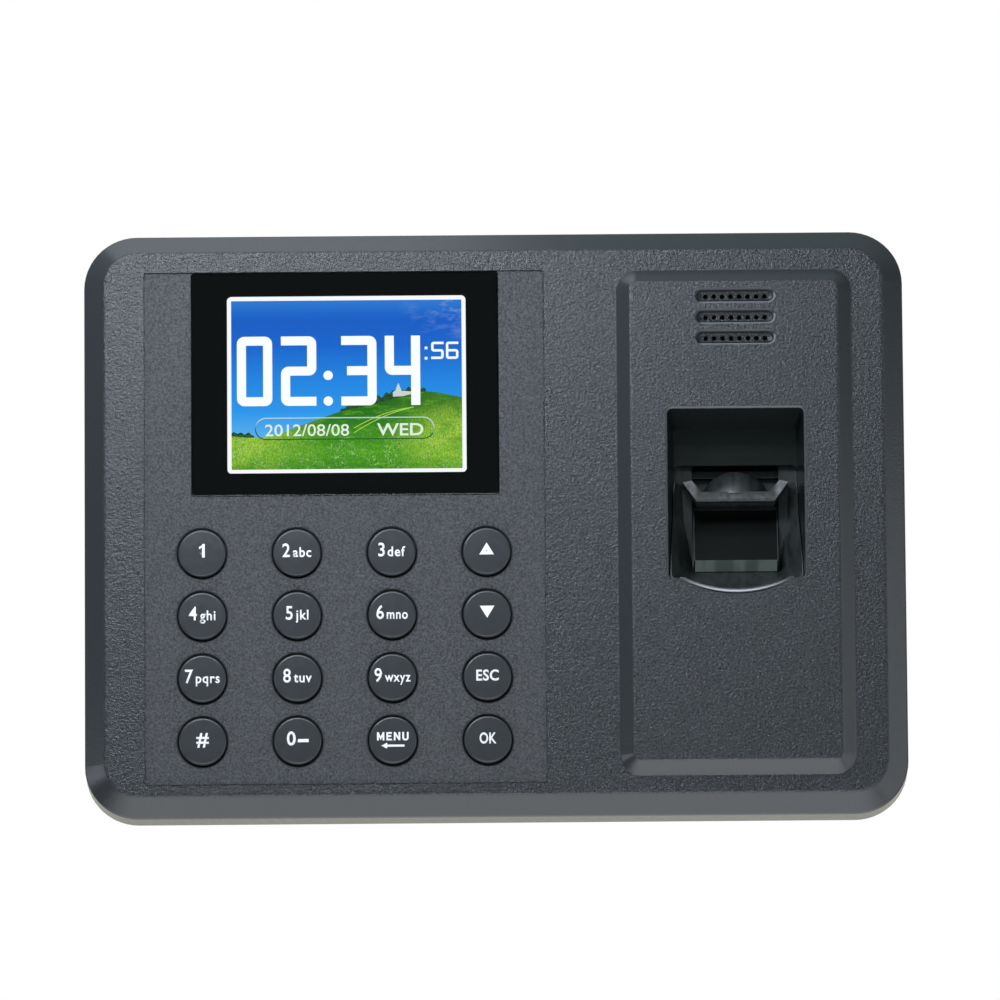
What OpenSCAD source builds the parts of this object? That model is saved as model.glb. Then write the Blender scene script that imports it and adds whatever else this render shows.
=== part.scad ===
// Fingerprint time and attendance terminal for a wall, in millimetres.
// Every piece is drawn lying on its back: x to the right, y up the wall and z out of the wall.
// upright() then stands it up, so in the finished part +Z is up and the front faces -Y.
// A "level" is a distance out of the wall. The origin is the centre of the wall plate's back face.

/* [Case] */
// Width of the front cover
body_w = 185; // [182:0.5:188]
// Height of the front cover
body_h = 133.6; // [131:0.1:136]
// Outer corner radius of the front cover
corner_r = 12; // [11.5:0.5:13]
// Wall thickness of the front cover
cover_t = 2.2; // [2:0.1:2.4]
// Width of the sloping border around the face
bevel_w = 4.65; // [4:0.05:5]
// How far the rear case stands in from the front cover
rear_inset = 2.5; // [2.5:0.1:3]

/* [Levels out of the wall] */
// Back of the rear case
back_lvl = 0.6; // [0.4:0.1:0.8]
// Seam between the two halves of the case
seam_lvl = 14.7; // [14.5:0.1:15]
// Outer edge of the sloping border
edge_lvl = 23; // [22.8:0.1:23.2]
// Face of the front cover
face_lvl = 27; // [26.9:0.1:27.1]
// Top of the raised panel
panel_lvl = 30; // [29.5:0.1:30.5]

/* [Keypad] */
// Distance between key columns
key_pitch_x = 21.35; // [21:0.05:21.6]
// Distance between key rows
key_pitch_y = 14.33; // [14:0.01:14.5]
// Radius of a key
key_r = 5.35; // [5.2:0.05:5.4]
// Radial gap around a key
key_gap = 0.35; // [0.3:0.05:0.4]
// How far a key stands above the keypad zone
key_rise = 1.1; // [1:0.1:1.3]
// Travel of a key
key_travel = 1; // [0.8:0.1:1]

/* [Display] */
// Width of the display window
window_w = 69.2; // [68:0.2:70]
// Height of the display window
window_h = 51.2; // [50:0.2:52]
// Width of the visible picture
picture_w = 53.9; // [53:0.1:54.5]
// Height of the visible picture
picture_h = 40.7; // [40:0.1:41.5]

/* [Finger sensor] */
// Width of the finger opening
well_w = 30.9; // [30.5:0.1:31.3]
// Width of the sensor glass
glass_w = 18.5; // [18:0.1:18.8]
// Length of the sensor glass
glass_l = 13.7; // [13.2:0.1:14]
// Lean of the sensor glass, its top edge away from the finger
glass_tilt = 25; // [24:0.5:26]

/* [Wall plate] */
// Width of the wall plate
plate_w = 112; // [108:1:116]
// Height of the wall plate
plate_h = 84; // [80:1:88]
// Thickness of the wall plate's sheet steel
plate_t = 1.5; // [1.2:0.1:1.5]
// Distance between screw holes across
wall_hole_x = 84; // [80:1:86]
// Distance between screw holes up
wall_hole_y = 54; // [50:1:56]
// Radius of a wall screw hole
wall_hole_r = 2.25; // [2:0.05:2.5]

/* [Hidden] */
KEYS = [
    ["key_1", "key_2", "key_3", "key_up"],
    ["key_4", "key_5", "key_6", "key_down"],
    ["key_7", "key_8", "key_9", "key_esc"],
    ["key_hash", "key_0", "key_menu", "key_ok"]
];
$fn = 48;
eps = 0.01;

// Colours
abs_dark = [0.22, 0.23, 0.25];
abs_key = [0.17, 0.18, 0.20];
abs_black = [0.05, 0.05, 0.06];
steel = [0.70, 0.71, 0.72];
board_green = [0.05, 0.30, 0.14];

// Places on the face
zone_x = -33.75;
zone_y = -1.1;
zone_w = 90.4;
zone_h = 117.6;
zone_depth = 0.4;
zone_lvl = face_lvl - zone_depth;
window_x = -33.6;
window_y = 31.9;
picture_x = -33.2;
picture_y = 31.9;
key_x0 = -65.95;
key_y0 = -6.9;
panel_x = 54.25;
panel_y = -0.5;
panel_w = 52.9;
panel_h = 115.6;
panel_r = 4.6;
panel_bevel = 3.04;

// Display stack
pocket_lvl = zone_lvl - 1;
mask_t = 0.15;
window_t = 1.2;
window_gap = 0.15;
lcd_t = 1.0;
lcd_lvl = pocket_lvl - 0.45 - lcd_t;
backlight_t = 2.4;
lcd_side = 0.9;

// Keypad stack
board_t = 1.6;
keypad_board_lvl = 18;
mat_lvl = keypad_board_lvl + board_t;
mat_t = 0.8;
dome_t = 1.3;
keypad_w = 80;
keypad_h = 56.5;
keypad_x = -33.9;
keypad_y = -28.4;
key_top_lvl = zone_lvl + key_rise;
key_flange_r = key_r + 0.85;
key_flange_lvl = zone_lvl - 2.3 - 1.1;
key_flange_t = 1;
key_bottom_lvl = mat_lvl + mat_t + dome_t + key_travel + 0.12;
keypad_screw_dx = 21.4;
keypad_screw_dy = 14.3;
keypad_screw_at = concat(
    [[keypad_x, keypad_y]],
    [for (x = [-1, 1], y = [-1, 1]) [keypad_x + x * keypad_screw_dx, keypad_y + y * keypad_screw_dy]]
);
cable_x = -34;
cable_y = -42;

// Speaker
speaker_y = 43.5;
speaker_r = 10;
slot_y = 46.1;
slot_pitch = 4.8;
slot_w = 17.7;
slot_h = 3;
slot_depth = 1.3;
grille_r = 0.55;
grille_pitch = 1.91;
speaker_screw_r = 12.3;

// Finger well
well_x = 54.35;
well_top = 25.05;
well_bottom = -13.9;
well_back_lvl = 18;
well_draft = 1.6;
well_top_draft = 2.2;
well_r = 1.2;
well_wall = 1.6;
lip_r = 25.6;
lip_drop = 3.6;
lip_half = sqrt(lip_r * lip_r - (lip_r - lip_drop) * (lip_r - lip_drop));
back_wall_end = 14.1;
cradle_gap = 0.15;
cradle_top = 13.4;
cradle_lip_lvl = 29.3;
cradle_top_lvl = 18.2;
cradle_flange_lvl = 14.4;
cradle_flange_t = 2;
cradle_screw_x = 20;
cradle_screw_y = [-13, 9];
trough_half = 9.8;
glass_y = -2;
glass_lvl = 18;
glass_t = 4.4;
lip_wall = 1;
lip_bead = 0.45;
stop_back = 9.9;
cradle_rise = atan((cradle_lip_lvl - cradle_top_lvl) / (cradle_top - well_bottom + lip_drop));
sensor_base_lvl = 5.4;

// Rear case
rear_w = body_w - 2 * rear_inset;
rear_h = body_h - 2 * rear_inset;
rear_r = corner_r - rear_inset;
rear_t = 2;
rim_lvl = 17;
plate_pocket_lvl = 1.8;
floor_lvl = 3.6;
case_screw_at = [for (x = [-1, 1], y = [-1, 1]) [x * 80, y * 53]];
lock_tab_y = -59.8;
hook_at = [for (x = [-1, 1], y = [-1, 1]) [x * 32, y * 28 + 4]];
foot_at = [for (x = [-1, 1], y = [-1, 1]) [x * 70, y * 44 + 3]];
foot_r = 5;
vent_y = 33;

// Main board
main_lvl = 5.6;
main_w = 100;
main_h = 96;
main_x = -23;
main_y = -11;
main_notch = 10;
notch_h = 4;
main_top = main_lvl + board_t;
main_screw_at = [for (x = [-1, 1], y = [-1, 1]) [main_x + x * 46, main_y + y * 43]];
coin_x = -58;
coin_y = 12;
usb_x = -45;
usb_w = 13.2;
usb_h = 5.7;
usb_l = 14;
jack_x = -20;
jack_w = 9;
jack_h = 7.4;
jack_l = 13;
jack_lvl = main_top + jack_h / 2;
jack_r = 2.85;
port_front = -rear_h / 2 + 0.6;

module upright() {
    rotate([90, 0, 0]) children();
}

// The points of a rounded corner at b between the lines a-b and b-c.
function unit(v) = v / norm(v);
function rounded(a, b, c, r, n = 4) =
    let (
        u = unit(a - b),
        v = unit(c - b),
        half = acos(u * v) / 2,
        centre = b + unit(u + v) * r / sin(half),
        p0 = b + u * r / tan(half),
        p1 = b + v * r / tan(half)
    )
    [for (i = [0:n]) centre + unit(p0 + (p1 - p0) * i / n - centre) * r];

function reversed(list) = [for (i = [len(list) - 1:-1:0]) list[i]];

// A rounded rectangle whose outline draws in as it rises: profile holds [inset, level] points.
module slab(w, h, r, profile) {
    across = [for (p = profile) [w / 2 - p[0], p[1]]];
    up = [for (p = profile) [h / 2 - p[0], p[1]]];
    corner = [for (p = profile) [r - p[0], p[1]]];
    first = profile[0][1];
    last = profile[len(profile) - 1][1];
    for (x = [-1, 1], y = [-1, 1])
        translate([x * (w / 2 - r), y * (h / 2 - r), 0])
            rotate_extrude($fn = 64) polygon(concat([[0, first]], corner, [[0, last]]));
    rotate([90, 0, 90])
        linear_extrude(height = w - 2 * r, center = true)
            polygon(concat(up, reversed([for (p = up) [-p[0], p[1]]])));
    rotate([90, 0, 0])
        linear_extrude(height = h - 2 * r, center = true)
            polygon(concat(across, reversed([for (p = across) [-p[0], p[1]]])));
}

// A plain block with rounded corners between two levels.
module block(w, h, r, low, high) {
    translate([0, 0, low])
        linear_extrude(height = high - low) {
            square([w - 2 * r, h], center = true);
            square([w, h - 2 * r], center = true);
            for (x = [-1, 1], y = [-1, 1])
                translate([x * (w / 2 - r), y * (h / 2 - r)]) circle(r);
        }
}

module rod(x, y, r, low, high) {
    translate([x, y, low]) cylinder(r = r, h = high - low);
}

// A pan-head screw whose head is at the low end and points at the wall.
module screw(x, y, r, head_r, head_t, low, high) {
    translate([x, y, 0]) difference() {
        rotate_extrude()
            polygon([
                [0, low], [head_r * 0.8, low], [head_r, low + head_t * 0.4], [head_r, low + head_t],
                [r, low + head_t], [r, high - r], [0, high]
            ]);
        for (a = [0, 90])
            rotate(a) translate([0, 0, low]) cube([head_r * 1.1, head_r * 0.28, head_t], center = true);
    }
}

function key_at(row, col) = [key_x0 + col * key_pitch_x, key_y0 - row * key_pitch_y];

// ---- Front cover ----

module cover_outside() {
    slab(body_w, body_h, corner_r, concat(
        [[0, seam_lvl]],
        rounded([0, seam_lvl], [0, edge_lvl], [bevel_w, face_lvl], 0.9),
        rounded([0, edge_lvl], [bevel_w, face_lvl], [bevel_w + 3, face_lvl], 1.6),
        [[bevel_w + 3, face_lvl]]
    ));
    translate([panel_x, panel_y, 0])
        slab(panel_w, panel_h, panel_r, concat(
            [[-0.35, face_lvl - 1], [-0.35, face_lvl], [-0.1, face_lvl + 0.04], [0.12, face_lvl + 0.18]],
            rounded([0.12, face_lvl + 0.18], [panel_bevel, panel_lvl], [panel_bevel + 1.4, panel_lvl], 1.1),
            [[panel_bevel + 1.4, panel_lvl]]
        ));
}

module cover_inside() {
    slab(body_w - 2 * cover_t, body_h - 2 * cover_t, corner_r - cover_t, [
        [0, seam_lvl - 1], [0, edge_lvl - 0.9], [bevel_w, face_lvl - cover_t - 0.2]
    ]);
    translate([panel_x, panel_y, 0])
        slab(panel_w - 2 * cover_t, panel_h - 2 * cover_t, 3, [
            [0, face_lvl - cover_t - 0.5], [0, face_lvl - 1.6], [2.4, panel_lvl - cover_t - 0.2]
        ]);
}

// The finger opening's rectangle, drawn in as it goes deeper.
module well_rectangle(grow, high) {
    hull() {
        translate([well_x, (well_top + well_bottom) / 2, 0])
            block(well_w + 2 * grow, well_top - well_bottom + 2 * grow, well_r + max(grow, 0), high - eps, high);
        translate([well_x, (well_top - well_top_draft + well_bottom) / 2, 0])
            block(
                well_w - 2 * well_draft + 2 * grow,
                well_top - well_top_draft - well_bottom + 2 * grow,
                well_r + max(grow, 0), well_back_lvl, well_back_lvl + eps
            );
    }
}

// The rounded notch at the foot of the finger opening, where the finger lies.
module well_notch(grow, low, high) {
    intersection() {
        rod(well_x, well_bottom - lip_drop + lip_r, lip_r + grow, low, high);
        translate([well_x - lip_half - grow, well_bottom - lip_drop - 5, low])
            cube([2 * lip_half + 2 * grow, lip_drop + 5.5, high - low]);
    }
}

module front_cover() {
    color(abs_dark) upright() difference() {
        union() {
            difference() {
                cover_outside();
                cover_inside();
            }
            // Walls of the finger well
            intersection() {
                union() {
                    well_rectangle(well_wall, panel_lvl - 1);
                    translate([well_x, (well_top + well_bottom) / 2 - 0.6, 0])
                        block(well_w - 0.6, well_top - well_bottom + 1.6, 2, well_back_lvl - 1.5, well_back_lvl + 2);
                    well_notch(well_wall, well_back_lvl - 1.5, panel_lvl - 1);
                }
                translate([well_x - 30, -40, well_back_lvl - 1.5]) cube([60, 80, 14]);
            }
            // Posts for the screws
            for (p = keypad_screw_at) rod(p[0], p[1], 2.2, mat_lvl, zone_lvl - 1);
            for (p = case_screw_at) rod(p[0], p[1], 3.4, 12.6, face_lvl - 1);
            for (x = [-1, 1], y = cradle_screw_y)
                rod(well_x + x * cradle_screw_x, y, 2.4, cradle_flange_lvl + cradle_flange_t, panel_lvl - 1.2);
            for (a = [90, 210, 330])
                rod(
                    panel_x + speaker_screw_r * cos(a), speaker_y + speaker_screw_r * sin(a), 1.9,
                    24.4, a == 90 ? face_lvl - 0.8 : panel_lvl - 1
                );
            // Rails beside the display
            for (x = [-1, 1])
                translate([picture_x + x * (picture_w / 2 + 3.6) - 0.6, picture_y - 18, 21.4]) cube([1.2, 36, 4]);
            translate([picture_x - 22, picture_y + picture_h / 2 + 3, 21.4]) cube([44, 1.2, 4]);
            for (x = [-1, 1])
                translate([picture_x + x * 15.5 - 6.5, picture_y - picture_h / 2 - 4.2, 21.4]) cube([13, 1.2, 4]);
        }
        // Keypad zone, a shallow step down
        translate([zone_x, zone_y, 0]) block(zone_w, zone_h, 0.6, zone_lvl, face_lvl + 1);
        // Window pocket and the opening for the picture
        translate([window_x, window_y, 0])
            block(window_w + 2 * window_gap, window_h + 2 * window_gap, 0.8, pocket_lvl, face_lvl + 1);
        translate([picture_x, picture_y, 0])
            block(picture_w + 2 * lcd_side + 0.4, picture_h + 2 * lcd_side + 0.4, 0.5, 18, face_lvl);
        // Key holes with a fine chamfer
        for (row = [0:3], col = [0:3]) {
            p = key_at(row, col);
            rod(p[0], p[1], key_r + key_gap, 18, face_lvl);
            translate([p[0], p[1], zone_lvl - 0.3])
                cylinder(r1 = key_r + key_gap, r2 = key_r + key_gap + 0.35, h = 0.35);
        }
        // Loudspeaker slots and their small holes
        for (i = [-1, 0, 1]) translate([panel_x + 0.3, slot_y + i * slot_pitch, 0]) {
            slab(slot_w, slot_h, slot_h / 2 - eps, [
                [1.35, panel_lvl - slot_depth], [0.5, panel_lvl - slot_depth + 0.35], [0.12, panel_lvl - 0.4],
                [-0.25, panel_lvl + eps], [-0.25, panel_lvl + 1]
            ]);
            for (k = [0:7])
                rod((k - 3.5) * grille_pitch, -0.1, grille_r, panel_lvl - 5, panel_lvl);
        }
        // Finger well, its back wall kept above the cradle
        difference() {
            well_rectangle(0, panel_lvl);
            translate([0, back_wall_end, 0]) cube([200, 100, well_back_lvl]);
        }
        translate([well_x, (back_wall_end + well_bottom) / 2, 0])
            block(well_w - 2 * well_draft, back_wall_end - well_bottom, well_r, 14, well_back_lvl + eps);
        translate([well_x, (well_top + well_bottom) / 2, panel_lvl - 0.35])
            slab(well_w, well_top - well_bottom, well_r, [[0, 0], [-0.4, 0.4], [-0.4, 2]]);
        well_notch(0, 14, panel_lvl + 1);
        intersection() {
            translate([well_x, well_bottom - lip_drop + lip_r, panel_lvl - 0.35])
                cylinder(r1 = lip_r, r2 = lip_r + 0.7, h = 0.7);
            translate([well_x - lip_half - 0.4, well_bottom - lip_drop - 5, panel_lvl - 2])
                cube([2 * lip_half + 0.8, lip_drop + 5.5, 5]);
        }
        // Screw holes in the posts
        for (p = keypad_screw_at) rod(p[0], p[1], 0.85, mat_lvl - 1, mat_lvl + 5);
        for (p = case_screw_at) rod(p[0], p[1], 1.3, 12, 23);
        for (x = [-1, 1], y = cradle_screw_y)
            rod(well_x + x * cradle_screw_x, y, 0.95, cradle_flange_lvl, cradle_flange_lvl + 8);
        for (a = [90, 210, 330])
            rod(panel_x + speaker_screw_r * cos(a), speaker_y + speaker_screw_r * sin(a), 0.75, 24, 25.6);
    }
}

// ---- Display ----

module display_window() {
    color([0.1, 0.1, 0.12, 0.4]) upright() translate([window_x, window_y, 0])
        slab(window_w, window_h, 0.7, [
            [0, pocket_lvl + mask_t], [0, pocket_lvl + window_t - 0.2], [0.2, pocket_lvl + window_t]
        ]);
}

module window_mask() {
    color("black") upright() difference() {
        translate([window_x, window_y, 0]) block(window_w, window_h, 0.7, pocket_lvl, pocket_lvl + mask_t);
        translate([picture_x, picture_y, 0]) block(picture_w, picture_h, 0.8, pocket_lvl - 1, pocket_lvl + 1);
    }
}

module lcd_panel() {
    color([0.3, 0.6, 0.9]) upright() translate([picture_x, picture_y, 0])
        block(picture_w + 2 * lcd_side, picture_h + 2 * lcd_side, 0.3, lcd_lvl, lcd_lvl + lcd_t);
}

module lcd_backlight() {
    color("white") upright() translate([picture_x, picture_y, 0])
        block(picture_w + 2 * lcd_side, picture_h + 2 * lcd_side, 0.3, lcd_lvl - backlight_t, lcd_lvl);
}

// Sheet metal tray around the back of the display
module lcd_frame() {
    color(steel) upright() translate([picture_x, picture_y, 0]) difference() {
        block(
            picture_w + 2 * lcd_side + 1.4, picture_h + 2 * lcd_side + 1.4, 0.8,
            lcd_lvl - backlight_t - 0.5, lcd_lvl - 0.2
        );
        block(
            picture_w + 2 * lcd_side, picture_h + 2 * lcd_side, 0.3,
            lcd_lvl - backlight_t, lcd_lvl + 1
        );
        translate([0, -picture_h / 2 - 2, lcd_lvl - backlight_t + 1]) cube([17, 4, 2.4], center = true);
    }
}

// A thin ribbon: a path of [y, level] points swept to a width
module ribbon(x, w, path, t = 0.3) {
    for (i = [0:len(path) - 2]) {
        a = path[i];
        b = path[i + 1];
        n = unit([a[1] - b[1], b[0] - a[0]]) * t / 2;
        d = unit(b - a) * t / 2;
        translate([x, 0, 0]) rotate([90, 0, 90])
            linear_extrude(height = w, center = true)
                polygon([a - d + n, b + d + n, b + d - n, a - d - n]);
    }
}

module lcd_flex_cable() {
    y0 = picture_y - picture_h / 2 - lcd_side - 0.9;
    color("orange") upright() {
        ribbon(picture_x, 14, [[y0, 22.2], [y0 - 2, 21.4], [y0 - 2.6, 18], [y0 - 1.5, 12], [y0 - 3, 9.4], [y0 - 7, 9]]);
        translate([picture_x, y0 - 9.4, main_top + 1.1]) cube([18, 5, 2.2], center = true);
    }
}

// ---- Keypad ----

module key(row, col) {
    p = key_at(row, col);
    color(abs_key) upright() translate([p[0], p[1], 0])
        rotate_extrude($fn = 64)
            polygon(concat(
                [[0, key_bottom_lvl], [3.2, key_bottom_lvl], [3.2, key_flange_lvl]],
                [[key_flange_r, key_flange_lvl], [key_flange_r, key_flange_lvl + key_flange_t]],
                [[key_r, key_flange_lvl + key_flange_t]],
                rounded([key_r, key_flange_lvl + 1], [key_r, key_top_lvl - 0.12], [0, key_top_lvl], 0.55, 6),
                [[2.6, key_top_lvl - 0.03], [0, key_top_lvl]]
            ));
}

module keypad_mat() {
    color([0.5, 0.5, 0.52]) upright() difference() {
        union() {
            translate([keypad_x, keypad_y, 0]) block(keypad_w - 1, keypad_h - 1, 2, mat_lvl, mat_lvl + mat_t);
            for (row = [0:3], col = [0:3]) {
                p = key_at(row, col);
                translate([p[0], p[1], mat_lvl + mat_t - eps])
                    cylinder(r1 = 4.2, r2 = 2.8, h = dome_t + eps);
            }
        }
        for (p = keypad_screw_at) rod(p[0], p[1], 2.4, mat_lvl - 1, mat_lvl + 3);
    }
}

module keypad_board() {
    color(board_green) upright() difference() {
        translate([keypad_x, keypad_y, 0]) block(keypad_w, keypad_h, 2, keypad_board_lvl, mat_lvl);
        for (p = keypad_screw_at) rod(p[0], p[1], 1.2, keypad_board_lvl - 1, mat_lvl + 1);
    }
}

module keypad_screws() {
    color(steel) upright()
        for (p = keypad_screw_at)
            screw(p[0], p[1], 0.85, 1.9, 1.3, keypad_board_lvl - 1.3, mat_lvl + 4);
}

module keypad_cable() {
    color("ivory") upright() {
        ribbon(cable_x, 12, [[-40, 15.6], [-36, 14.6], [-35, 12.5], [-37, 10.4], [-40, 9.6]]);
        translate([cable_x, cable_y, keypad_board_lvl - 1.4]) cube([14, 4.4, 2.8], center = true);
        translate([cable_x, cable_y, main_top + 1.4]) cube([14, 5, 2.8], center = true);
    }
}

// ---- Main board ----

module main_board() {
    color(board_green) upright() difference() {
        translate([main_x, main_y, 0]) block(main_w, main_h, 1.5, main_lvl, main_top);
        // Notch around the wall plate's locking tab and its screw
        translate([0, main_y - main_h / 2, 0]) block(2 * main_notch, 2 * notch_h, 1, main_lvl - 1, main_top + 1);
        for (p = main_screw_at) rod(p[0], p[1], 1.5, main_lvl - 1, main_top + 1);
    }
}

module main_board_screws() {
    color(steel) upright()
        for (p = main_screw_at) translate([0, 0, 2 * main_top])
            mirror([0, 0, 1]) screw(p[0], p[1], 1.1, 2.4, 1.5, main_top - 1.5, main_top + 3.6);
}

module processor_chip() {
    color(abs_black) upright() translate([-10, 14, 0]) difference() {
        block(16, 16, 0.3, main_top, main_top + 1.4);
        rod(-6.3, 6.3, 0.7, main_top + 1.3, main_top + 2);
    }
}

module memory_chip() {
    color(abs_black) upright() translate([-36, 20, 0]) difference() {
        block(12, 18, 0.3, main_top, main_top + 1.1);
        rod(-4.5, 7.5, 0.6, main_top + 1, main_top + 2);
    }
}

module capacitors() {
    color([0.12, 0.12, 0.30]) upright()
        for (p = [[6, -44, 3.1, 8.5], [14, -44, 3.1, 8.5], [10, -35, 2.5, 6.5], [-31, -50, 2.5, 6.5]])
            translate([p[0], p[1], 0])
                rotate_extrude() polygon([
                    [0, main_top], [p[2], main_top], [p[2], main_top + 0.9], [p[2] - 0.25, main_top + 1.2],
                    [p[2], main_top + 1.5], [p[2], main_top + p[3] - 0.3], [p[2] - 0.3, main_top + p[3]],
                    [0, main_top + p[3]]
                ]);
}

module coin_cell_holder() {
    color(abs_black) upright() translate([coin_x, coin_y, 0]) difference() {
        rod(0, 0, 11.6, main_top, main_top + 3.6);
        rod(0, 0, 10.2, main_top + 0.8, main_top + 5);
        translate([0, 11, main_top + 3]) cube([9, 6, 4.4], center = true);
    }
}

module coin_cell() {
    color(steel) upright() translate([coin_x, coin_y, 0])
        rotate_extrude($fn = 64)
            polygon([
                [0, main_top + 0.8], [9.6, main_top + 0.8], [10, main_top + 1.2], [10, main_top + 3.8],
                [9.8, main_top + 4], [0, main_top + 4]
            ]);
}

module usb_port() {
    color(steel) upright() translate([usb_x, port_front, main_top]) {
        difference() {
            translate([-usb_w / 2, 0, 0]) cube([usb_w, usb_l, usb_h]);
            translate([-usb_w / 2 + 0.35, -1, 0.35]) cube([usb_w - 0.7, usb_l, usb_h - 0.7]);
        }
        // Contact tongue, joined to the shell's back
        translate([-5.5, 0.8, 3.1]) cube([11, usb_l - 1.2, 1.8]);
    }
}

module dc_jack() {
    color(abs_black) upright() translate([jack_x, port_front, main_top]) {
        difference() {
            translate([-jack_w / 2, 0, 0]) cube([jack_w, jack_l, jack_h]);
            translate([0, -1, jack_h / 2]) rotate([-90, 0, 0]) cylinder(r = jack_r, h = 10);
        }
        translate([0, 0.6, jack_h / 2]) rotate([-90, 0, 0]) cylinder(r = 1, h = 9);
    }
}

// ---- Loudspeaker ----

module speaker_frame() {
    color(abs_black) upright() translate([panel_x, speaker_y, 0]) difference() {
        rotate_extrude()
            polygon([
                [0, 21.2], [6.9, 21.2], [8.6, 24.4], [speaker_r, 24.4], [speaker_r, 26.6],
                [9, 26.6], [9, 25], [6.2, 22], [0, 22]
            ]);
        rod(0, 0, 5, 20, 23);
    }
}

module speaker_magnet() {
    color(steel) upright() translate([panel_x, speaker_y, 0])
        rotate_extrude() polygon([[0, 16.8], [6.4, 16.8], [6.4, 21.2], [4.2, 21.2], [4.2, 22.6], [0, 22.6]]);
}

module speaker_cone() {
    color([0.08, 0.08, 0.09]) upright() translate([panel_x, speaker_y, 0])
        rotate_extrude()
            polygon([
                [0, 24], [2.4, 23.6], [4.8, 22.7], [8.9, 25.2], [8.9, 25.6], [7.8, 25.9], [6.9, 25.3],
                [4.8, 23.4], [3, 24.4], [0, 24.9]
            ]);
}

module speaker_cloth() {
    color([0.1, 0.1, 0.1]) upright()
        rod(panel_x, speaker_y, speaker_r - 0.8, 26.7, 27.2);
}

module speaker_screws() {
    color(steel) upright()
        for (a = [90, 210, 330])
            screw(
                panel_x + speaker_screw_r * cos(a), speaker_y + speaker_screw_r * sin(a),
                0.75, 2.8, 1.1, 23.3, 25.5
            );
}

module speaker_wires() {
    color("red") upright()
        for (i = [0, 1]) {
            x = panel_x - 7.5 - 1.4 * i;
            translate([x, speaker_y - 3 + i, 0]) rod(0, 0, 0.45, 12.6, 21);
            translate([x, speaker_y - 3 + i, 12.6]) rotate([0, -90, 0]) cylinder(r = 0.45, h = 28 - 1.4 * i);
            translate([x - 28 + 1.4 * i, speaker_y - 3 + i, 12.6]) rotate([90, 0, 0])
                cylinder(r = 0.45, h = 12 + i);
            translate([x - 28 + 1.4 * i, speaker_y - 15, main_top + 1.2]) rod(0, 0, 0.45, 0, 12.8 - main_top - 1.2);
        }
}

// ---- Finger sensor ----

// The slope of the cradle's rim, from the foot of the opening upwards
module on_rim() {
    translate([well_x, well_bottom - lip_drop, cradle_lip_lvl]) rotate([-cradle_rise, 0, 0]) children();
}

// Everything under the cradle's sloping rim
module under_rim() {
    on_rim() translate([-40, -5, -40]) cube([80, 60, 40]);
}

// The cradle's outer outline inside the well
module cradle_outline() {
    difference() {
        union() {
            well_rectangle(-cradle_gap, panel_lvl);
            translate([well_x, (cradle_top + well_bottom) / 2, 0])
                block(well_w - 2 * well_draft - 2 * cradle_gap, cradle_top - well_bottom, 1, 11, well_back_lvl + eps);
            well_notch(-cradle_gap, 11, panel_lvl);
        }
        translate([0, cradle_top, 0]) cube([200, 100, 60]);
    }
}

// The hollow that the finger lies in
module trough() {
    hull() {
        translate([well_x, 0, 0]) rotate([90, 0, 90])
            linear_extrude(height = 2 * trough_half, center = true)
                polygon([
                    [cradle_top - 1.6, 12.9], [1, 12.9], [-8.6, 16.6], [-10.2, 17.6],
                    [-12.2, 21.5], [-13, 24.5], [cradle_top - 1.6, 24.5]
                ]);
        intersection() {
            union() {
                translate([well_x, (cradle_top - 1.6 + well_bottom) / 2, 0])
                    block(well_w - 2 * well_draft - 0.6, cradle_top - 1.6 - well_bottom, 1, 18, 36);
                well_notch(-lip_wall - cradle_gap, 18, 36);
                translate([well_x, -5, 0]) block(well_w - 1.4, 2 * (-5 - well_bottom) - 0.5, 1, 18, 36);
            }
            difference() {
                translate([0, 0, 0.6]) under_rim();
                translate([0, 0, 0.2]) under_rim();
            }
        }
    }
}

module on_glass_plane() {
    translate([well_x, glass_y, glass_lvl]) rotate([-glass_tilt, 0, 0]) children();
}

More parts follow.
